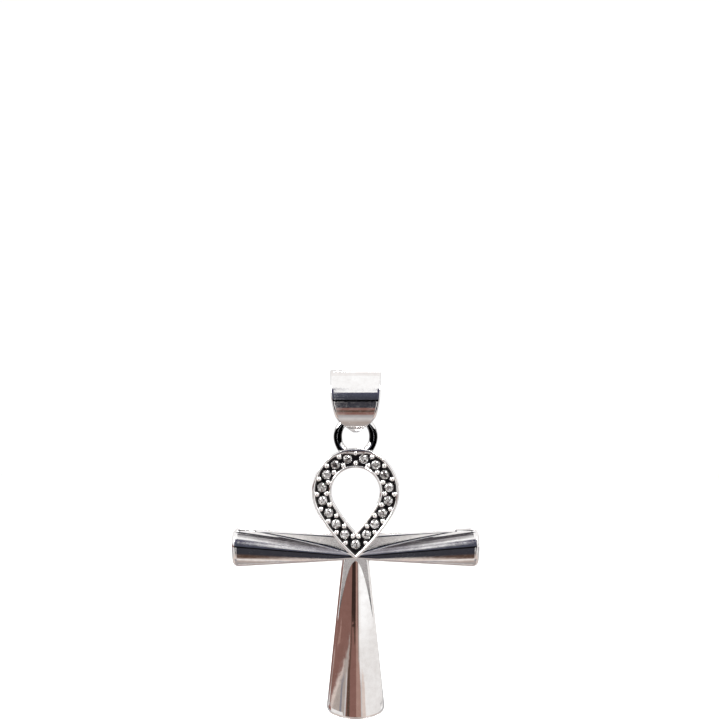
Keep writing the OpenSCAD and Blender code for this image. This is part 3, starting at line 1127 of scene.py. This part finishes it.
@dataclass(frozen=True)
class Card:
    """A reflector on a sphere round the pendant, whose tone changes from stop to stop.

    A stop gives its elevation, its two azimuths and its tone. Azimuth is 0 towards the camera and grows to the
    right. A ragged reflector has an uneven top, and one with jag has uneven sides.
    """

    name: str
    stops: tuple[Stop, ...]
    feather: float = 0.0
    ragged: float = 0.0
    jag: float = 0.0
    dark_for: tuple[str, ...] = ()

    def build(self, radius: float, finish: bpy.types.Material) -> None:
        """Makes the reflector, unseen by the camera and black to the pieces that it is dark for.

        Args:
            radius: its distance from the pendant in metres.
            finish: the glowing material that shows the tone.
        """
        ordered = sorted(self.stops, key=lambda stop: stop[0])
        given = np.array([(at, low, high, *tone.value) for at, low, high, tone in ordered])
        steps = [np.linspace(p, q, max(2, int((q - p) / 2) + 1))[:-1]
                 for p, q in zip(given[:, 0], given[1:, 0])]
        at = np.concatenate(steps + [given[-1:, 0]])
        low, high, *tone = (np.interp(at, given[:, 0], given[:, k])[:, None] for k in range(1, 6))
        sides = np.random.default_rng(SIDE_SEED)
        low, high = (edge + self.jag * sides.normal(size=edge.shape) for edge in (low, high))
        wide = given[:, 2].max() - given[:, 1].min() > WIDE_ANGLE
        columns = MANY_COLUMNS if self.ragged or wide else FEW_COLUMNS
        share = np.linspace(0, 1, columns + 1)[None]
        across = low + (high - low) * share
        places = np.broadcast_to(at[:, None], across.shape).copy()
        if self.ragged:
            top = np.random.default_rng(TOP_SEED).normal(size=columns + 1)
            places[-1] += self.ragged * (np.convolve(top, (0.25, 0.5, 0.25), mode="same") + 0.6 * top)
        edge = np.minimum(share, 1 - share) * (high - low)
        solid = np.clip(edge / self.feather, 0, 1) if self.feather else np.ones_like(edge)
        a, e = np.radians(across), np.radians(places)
        points = radius * np.stack([np.sin(a) * np.cos(e), -np.cos(a) * np.cos(e), np.sin(e)], axis=-1)
        points[..., 2] += STAGE_Z
        colours = np.stack([np.broadcast_to(t, across.shape) for t in tone] + [solid], axis=-1)
        rows = np.arange(across.size).reshape(across.shape)
        faces = np.stack([rows[:-1, :-1], rows[1:, :-1], rows[1:, 1:], rows[:-1, 1:]], axis=-1).reshape(-1, 4)
        mesh = bpy.data.meshes.new(self.name)
        mesh.from_pydata(points.reshape(-1, 3).tolist(), [], faces.tolist())
        mesh.attributes.new("tone", "FLOAT_COLOR", "POINT").data.foreach_set(
            "color", colours.reshape(-1).astype(np.float32))
        mesh.materials.append(finish)
        obj = bpy.data.objects.new(self.name, mesh)
        bpy.context.scene.collection.objects.link(obj)
        obj.visible_camera = obj.visible_shadow = obj.visible_diffuse = False
        if self.dark_for:
            others = bpy.data.collections.new(self.name + "_others")
            for piece in self.dark_for:
                others.objects.link(bpy.data.objects[piece])
            for entry in others.collection_objects:
                entry.light_linking.link_state = "EXCLUDE"
            obj.light_linking.receiver_collection = others


def glow(name: str, tone: Tone) -> bpy.types.Material:
    """A stage material that gives off even light.

    Args:
        name: the material's name.
        tone: its light.

    Returns:
        The material.
    """
    n = Nodes(name)
    out = n.node("ShaderNodeOutputMaterial")
    light = n.node("ShaderNodeEmission")
    light.inputs["Color"].default_value = (*tone.value, 1)
    n.link(light.outputs["Emission"], out.inputs["Surface"])
    return n.material


def card_glow() -> bpy.types.Material:
    """The reflectors' material, which shows each one's own tone and lets the rest through.

    Returns:
        The material.
    """
    n = Nodes("reflector_glow")
    out = n.node("ShaderNodeOutputMaterial")
    light = n.node("ShaderNodeEmission")
    through = n.node("ShaderNodeBsdfTransparent")
    both = n.node("ShaderNodeMixShader")
    tone = n.node("ShaderNodeAttribute", attribute_name="tone")
    n.link(tone.outputs["Color"], light.inputs["Color"])
    n.link(tone.outputs["Alpha"], both.inputs[0])
    n.link(through.outputs["BSDF"], both.inputs[1])
    n.link(light.outputs["Emission"], both.inputs[2])
    n.link(both.outputs["Shader"], out.inputs["Surface"])
    return n.material


def run(tone: Tone, *spans: Span) -> tuple[Stop, ...]:
    """Stops of one tone, each between two azimuths at its elevation."""
    return tuple((*span, tone) for span in spans)


def patch(name: str, tone: Tone, *spans: Span, **settings: object) -> Card:
    """A reflector of one tone whose sides lean."""
    return Card(name, run(tone, *spans), **settings)


def column(name: str, low: float, high: float, *tones: tuple[float, Tone], **settings: object) -> Card:
    """A reflector with upright sides whose tone changes with the elevation."""
    return Card(name, tuple((at, low, high, tone) for at, tone in tones), **settings)


def pair(card: Card) -> tuple[Card, Card]:
    """A reflector on the right and its mirror image on the left."""
    left = tuple((at, -high, -low, tone) for at, low, high, tone in card.stops)
    return replace(card, name=card.name + "_right"), replace(card, name=card.name + "_left", stops=left)


RINGS = ("eyelet", "solder")
SET_LOOP = (*RINGS, "loop", "prong_grains")
ALL_BUT_STEM = (*RINGS, "crossbar", "bail_strip")
STEM_LOW, STEM_TOP = -1.2, 5.0

SURROUND = (
    column("lower_dome", -180, 180, (-90, Tone.GREY), (-80, Tone.TAUPE), (-72, Tone.ROSE), (-66, Tone.PALE),
           (-60, Tone.ROSE), (-50, Tone.ROSE), (-30, Tone.ASH), (-14, Tone.PEARL)),
    column("rear_dome", 105, 255, (-63, Tone.LEAD), (18, Tone.LEAD), (24, Tone.PALE), (84, Tone.PEARL),
           feather=14),
    *pair(column("side_shade", 8, 124, (-28, Tone.PALE), (9, Tone.PALE), dark_for=RINGS)),
    *pair(column("flank", 66, 124, (-28, Tone.ASH), (-12, Tone.LEAD), (9, Tone.LEAD), dark_for=RINGS)),
    *pair(column("low_shade", 5, 124, (-57, Tone.ROSE), (-50, Tone.ROSE), (-30, Tone.ASH), (-28, Tone.ASH),
                 dark_for=RINGS)),
    *pair(column("high_shade", 8, 105, (9, Tone.WHITE), (20, Tone.WHITE), dark_for=RINGS)),
    column("front_grey", -3.3, 3.3, (-14, Tone.ASH), (2, Tone.ASH), dark_for=RINGS))

ARM_CARDS = (
    *pair(Card("arm_grey", (
        *run(Tone.SLATE, (9, 11, 17)),
        *run(Tone.SMOKE, (12.5, 10.9, 17), (18, 11.7, 17), (30, 13.4, 19), (36, 14.6, 21), (48, 18, 26)),
        *run(Tone.MIST, (24, 12.5, 18)),
        *run(Tone.GREY, (55, 19.6, 30), (61, 22.5, 35), (72, 30, 50)),
        *run(Tone.LEAD, (66, 25, 40))), jag=0.4)),
    *pair(patch("arm_crease", Tone.DUSK, (46, 19.6, 26), (54, 21.3, 29), (61, 25.6, 30.5), (65, 29.5, 35),
                (72, 33, 43), (75, 44, 70), (77, 50, 95), (79, 58, 100), (81.2, 64, 102), jag=0.2)),
    *pair(Card("arm_dark", (
        *run(Tone.NAVY, (43, 0.95, 15.2), (38, 0.95, 14.5), (30, 0.95, 12.5), (25, 0.95, 11.6)),
        *run(Tone.SLATE, (22, 0.95, 11.4), (13.5, 0.95, 11), (10, 0.95, 17)),
        *run(Tone.INK, (5, 0.95, 16), (0, 5, 14), (-5, 4.6, 12.5), (-28, 3.5, 12), (-31, 3.5, 8.6)),
        *run(Tone.UMBER, (-43, 3.5, 7.3), (-54, 3.3, 6), (-57.5, 3.3, 5.2)),
        *run(Tone.BROWN, (-60.5, 3.3, 4.5))), ragged=1.8, jag=0.2)),
    *pair(patch("arm_under", Tone.GREY, (-62, 9.5, 60), (-66, 7, 60), (-72, 5.8, 60), (-78, 5.8, 60))))

BAIL_CARDS = (
    Card("front_low", (
        *run(Tone.TAUPE, (-88, -12, 12), (-82, -4, 4), (-76, -2.6, 2.6)),
        *run(Tone.ASH, (-62, -2.6, 2.6)),
        *run(Tone.GREY, (-48, -2.6, 2.6)))),
    column("front_column", -0.95, 0.95, (-48, Tone.TAUPE), (-45, Tone.BROWN), (-38, Tone.BROWN),
           (-36.5, Tone.UMBER), (-31, Tone.UMBER), (-29.5, Tone.BROWN), (-23.5, Tone.BROWN), (-21, Tone.INK),
           (2, Tone.INK), (24, Tone.SLATE), (30, Tone.NAVY), ragged=0.5))

ROOT_CARDS = (
    *pair(column("arm_strip", 0.8, 3.3, (-4.9, Tone.ASH), (-4.1, Tone.ASH), (-3.75, Tone.PALE),
                 (-1.1, Tone.PEARL), dark_for=SET_LOOP)),
    *pair(column("arm_root", 0.3, 0.8, (-5, Tone.ASH), (-3.4, Tone.ASH), dark_for=(*SET_LOOP, "bail_strip"))))

STEM_CARDS = (
    patch("stem_left", Tone.BROWN, (STEM_LOW, -112, -20), (STEM_TOP, -112, -20), dark_for=RINGS),
    patch("stem_streak_outer", Tone.COPPER, (0, -68.5, -65), (0.9, -66, -62), (1.5, -61.5, -58),
          dark_for=RINGS),
    patch("stem_streak_inner", Tone.COPPER, (0.8, -59, -56), (1.4, -50, -47), (1.7, -49, -46),
          dark_for=RINGS),
    column("stem_right", 17, 124, (STEM_LOW, Tone.PALE), (1.2, Tone.PALE), (2.4, Tone.WHITE),
           (STEM_TOP, Tone.WHITE), dark_for=RINGS),
    patch("stem_right_edge", Tone.ROSE, (STEM_LOW, 17, 27), (0.5, 17, 24), (0.8, 17, 18), dark_for=RINGS),
    patch("stem_ridge", Tone.BROWN, (STEM_LOW, -20, 1.5), (STEM_TOP, -20, 1.5), dark_for=ALL_BUT_STEM),
    patch("stem_gleam", Tone.COPPER, (STEM_LOW, 1.5, 17), (STEM_TOP, 1.5, 17), dark_for=ALL_BUT_STEM),
    patch("stem_shade", Tone.BROWN, (2.1, 4.7, 7.6), (STEM_TOP, 4.7, 7.6), dark_for=ALL_BUT_STEM),
    patch("stem_half_light", Tone.TAUPE, (1.1, 7.6, 11), (STEM_TOP, 7.6, 11), dark_for=ALL_BUT_STEM),
    Card("stem_light", (
        *run(Tone.ASH, (STEM_LOW, 14.2, 17), (0.35, 13.6, 17)),
        *run(Tone.PALE, (0.9, 11.4, 17), (1.3, 10.8, 17)),
        *run(Tone.PEARL, (1.75, 10.8, 17), (STEM_TOP, 10.8, 17))), dark_for=ALL_BUT_STEM),
    patch("stem_wedge", Tone.TAUPE, (STEM_LOW, -70, -27), (-0.5, -59, -26), (0.1, -48.5, -24),
          (0.45, -40, -23.5), (0.85, -33, -21), (1.3, -23.5, -18.5), (1.68, -19, -17), dark_for=RINGS),
    patch("stem_wedge_left", Tone.ROSE, (STEM_LOW, -70, -64), (-0.5, -59.5, -54), (0.1, -49, -44),
          (0.45, -40.5, -36), (0.85, -33, -31.5), dark_for=RINGS),
    patch("stem_wedge_fold", Tone.SMOKE, (STEM_LOW, -44, -38), (0.1, -40, -36), (0.45, -33, -30),
          dark_for=RINGS),
    patch("stem_wedge_right", Tone.ASH, (STEM_LOW, -31, -27), (0.1, -28, -24.5), (0.6, -26, -23),
          dark_for=RINGS),
    patch("stem_line", Tone.UMBER, (STEM_LOW, -23.5, -15.5), (0.35, -22.5, -15.5), (0.6, -22, -16.5),
          (1.1, -17, -14), (1.75, -13.5, -11), (2.6, -14, -12.5), dark_for=ALL_BUT_STEM),
    patch("stem_top_shade", Tone.SOOT, (2.15, -11, -1), (2.4, -13.5, 0.3), (STEM_TOP, -13, 0.5),
          dark_for=ALL_BUT_STEM),
    patch("stem_top_tail", Tone.UMBER, (1.55, -3.4, -2), (1.8, -5.5, -0.5), (2.15, -7, -0.2),
          dark_for=ALL_BUT_STEM))


@dataclass(frozen=True)
class Lamp:
    """A soft square lamp aimed at the pendant."""

    name: str
    place: tuple[float, float, float]
    power: float
    size: float


@dataclass
class Studio:
    """The white tent, the pale floor, the reflectors, the lamps and the camera."""

    tent_r: float = 2.4
    card_r: float = 2.3
    card_step: float = 0.012
    floor_r: float = 1.1
    floor_z: float = -0.0665
    floor_colour: Colour = (0.97, 0.97, 0.97)
    camera_distance: float = 0.35
    camera_x: float = 0.573 * MM
    camera_z: float = 2.28 * MM
    sensor: float = 36.0
    frame_pixels: int = 719
    pixel: float = 0.147
    cards: tuple[Card, ...] = (*SURROUND, *ARM_CARDS, *BAIL_CARDS, *ROOT_CARDS, *STEM_CARDS)
    lamps: tuple[Lamp, ...] = (
        Lamp("key_lamp", (0.28, -0.35, 0.42), 3.0, 0.16),
        Lamp("fill_lamp", (-0.4, -0.25, 0.3), 2.0, 0.2),
        Lamp("rim_lamp", (0.1, 0.4, 0.35), 1.5, 0.2))

    def build(self) -> None:
        """Makes the whole stage, with each reflector a step nearer than the one before it."""
        self._tent()
        self._floor()
        finish = card_glow()
        for layer, card in enumerate(self.cards):
            card.build(self.card_r - layer * self.card_step, finish)
        self._lamps()
        self._camera()

    def _tent(self) -> None:
        """A white sphere round everything."""
        bpy.ops.mesh.primitive_uv_sphere_add(segments=96, ring_count=48, radius=self.tent_r)
        tent = bpy.context.object
        tent.name = "light_tent"
        tent.data.materials.append(glow("light_tent", Tone.WHITE))

    def _floor(self) -> None:
        """A pale floor under the pendant, left out of reflections so that the low reflectors show."""
        bpy.ops.mesh.primitive_circle_add(
            vertices=96, radius=self.floor_r, fill_type="NGON", location=(0, 0, self.floor_z))
        floor = bpy.context.object
        floor.name = "pale_floor"
        floor.visible_glossy = False
        n = Nodes("pale_floor")
        out = n.node("ShaderNodeOutputMaterial")
        shader = n.node("ShaderNodeBsdfPrincipled")
        shader.inputs["Base Color"].default_value = (*self.floor_colour, 1)
        shader.inputs["Roughness"].default_value = 0.7
        n.link(shader.outputs["BSDF"], out.inputs["Surface"])
        floor.data.materials.append(n.material)

    def _lamps(self) -> None:
        """Soft lamps above and beside the pendant."""
        for lamp in self.lamps:
            data = bpy.data.lights.new(lamp.name, "AREA")
            data.energy, data.size = lamp.power, lamp.size
            obj = bpy.data.objects.new(lamp.name, data)
            obj.location = lamp.place
            obj.rotation_mode = "QUATERNION"
            obj.rotation_quaternion = (Vector((0, 0, STAGE_Z)) - Vector(lamp.place)).to_track_quat("-Z", "Y")
            bpy.context.scene.collection.objects.link(obj)

    def _camera(self) -> None:
        """The camera at the photograph's place, with the photograph's millimetres to a pixel."""
        data = bpy.data.cameras.new("camera")
        data.sensor_width = self.sensor
        data.lens = self.sensor * self.camera_distance / (self.frame_pixels * self.pixel * MM)
        data.clip_start, data.clip_end = 0.01, 10.0
        camera = bpy.data.objects.new("camera", data)
        camera.location = (self.camera_x, -self.camera_distance, self.camera_z)
        camera.rotation_euler = (math.radians(90), 0, 0)
        bpy.context.scene.collection.objects.link(camera)
        bpy.context.scene.camera = camera
        bpy.context.scene.view_settings.view_transform = "Standard"


# The whole pendant


def dress_stones(material: bpy.types.Material) -> int:
    """Gives the stones' own solids their finish.

    Args:
        material: the stones' finish.

    Returns:
        The number of stones.
    """
    stones = [obj for name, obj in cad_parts.items() if name.startswith("stone_")]
    for obj in stones:
        if not obj.material_slots:
            obj.data.materials.append(material)
        for slot in obj.material_slots:
            slot.material = material
    return len(stones)


def main() -> None:
    """Builds the pendant's pieces in order, then the stage."""
    logging.basicConfig(level=logging.INFO, format="%(message)s")
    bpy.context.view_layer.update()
    cast = PolishedSilver("cast_silver_polish").build()
    strip = PolishedSilver("strip_silver_polish", wave_scale=520.0, wave_stretch=(0.02, 1, 1), wave=2e-6,
                           hairline=1e-7).build()
    smooth = PolishedSilver("cast_silver_fine_polish", wave=2e-6, hairline=6e-8, ripple=4e-8,
                            rough_high=0.04).build()
    cross = Cross()
    place(cross.crossbar(cast), Body.ANKH, Slot.CAST, "ankh")
    place(cross.stem_piece(smooth), Body.ANKH, Slot.CAST, "ankh")
    loop = Loop()
    place(loop.band_piece(cast), Body.ANKH, Slot.CAST, "ankh")
    grains = GrainTree().apply("prong_grains", loop.grain_places(), Grain_radius=loop.grain_r * MM,
                               Size_spread=0.08, Seed=7, Finish=cast)
    place(grains, Body.ANKH, Slot.CAST, "ankh")
    eyelet = Eyelet()
    place(eyelet.ring_piece(cast), Body.ANKH, Slot.CAST, "ankh")
    place(eyelet.solder_piece(cast), Body.ANKH, Slot.CAST, "ankh")
    place(Bail().strip_piece(strip), Body.BAIL, Slot.STRIP, "bail")
    LOG.info("stones: %d", dress_stones(CutStone("clear_stone_cut").build()))
    Studio().build()


if __name__ == "__main__":
    main()
